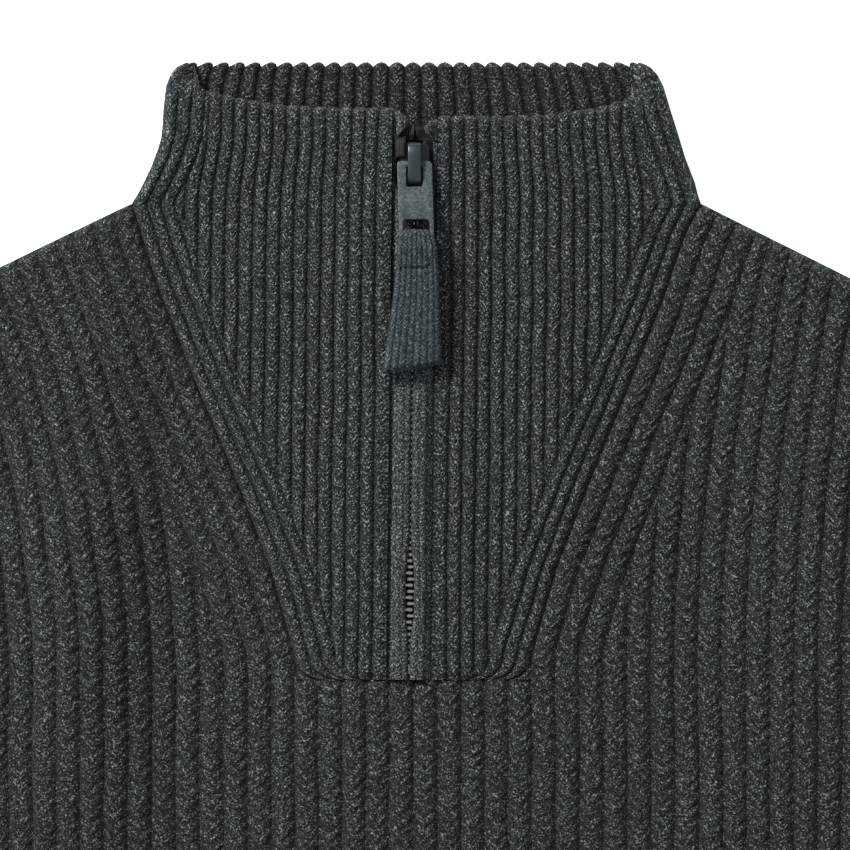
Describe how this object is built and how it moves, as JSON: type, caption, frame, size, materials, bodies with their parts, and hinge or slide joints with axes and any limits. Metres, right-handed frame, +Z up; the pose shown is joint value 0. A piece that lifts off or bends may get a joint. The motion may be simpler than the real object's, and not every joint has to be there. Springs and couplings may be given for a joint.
{
  "type": "quarter zip sweater",
  "caption": "Small child's chunky rib-knit pullover with a funnel collar, a yoke inset and a quarter zip with a knit-tailed pull, laid flat.",
  "frame": {"origin": "middle of the underside, on the surface that the sweater lies on", "axes": "+Z up out of the front, +Y towards the collar, +X towards the right sleeve as it is seen from above"},
  "size_m": [0.7296, 0.4374, 0.0149],
  "materials": {
    "body_knit": "chunky half-cardigan rib, charcoal heather",
    "rib_knit": "1x1 rib knit, charcoal heather",
    "plain_knit": "plain knit, charcoal heather",
    "zip_tape": "woven tape",
    "zip_metal": "nickel",
    "slider_metal": "dark gunmetal, polished",
    "pull_paint": "matt grey paint, fine grain",
    "loop_knit": "close plain knit"
  },
  "bodies": {
    "garment": {"body_front": "body_knit", "body_back": "body_knit", "sleeve_left": "body_knit", "sleeve_right": "body_knit", "hem_front": "rib_knit", "hem_back": "rib_knit", "cuff_left": "rib_knit", "cuff_right": "rib_knit", "collar_yoke_left": "rib_knit", "collar_yoke_right": "rib_knit", "collar_back": "rib_knit", "zip_band_left": "plain_knit", "zip_band_right": "plain_knit", "zip_tape_left": "zip_tape", "zip_tape_right": "zip_tape", "zip_bottom_stop": "zip_metal", "zip_slider": "slider_metal"},
    "puller": {"pull_tab": "pull_paint", "pull_loop": "loop_knit"}
  },
  "joints": [
    {"name": "pull_swing", "type": "hinge", "parent": "garment", "child": "puller", "pos_m": [-0.0006, 0.1915, 0.00955], "axis": [-1, 0, 0], "range_deg": [0, 155]}
  ]
}
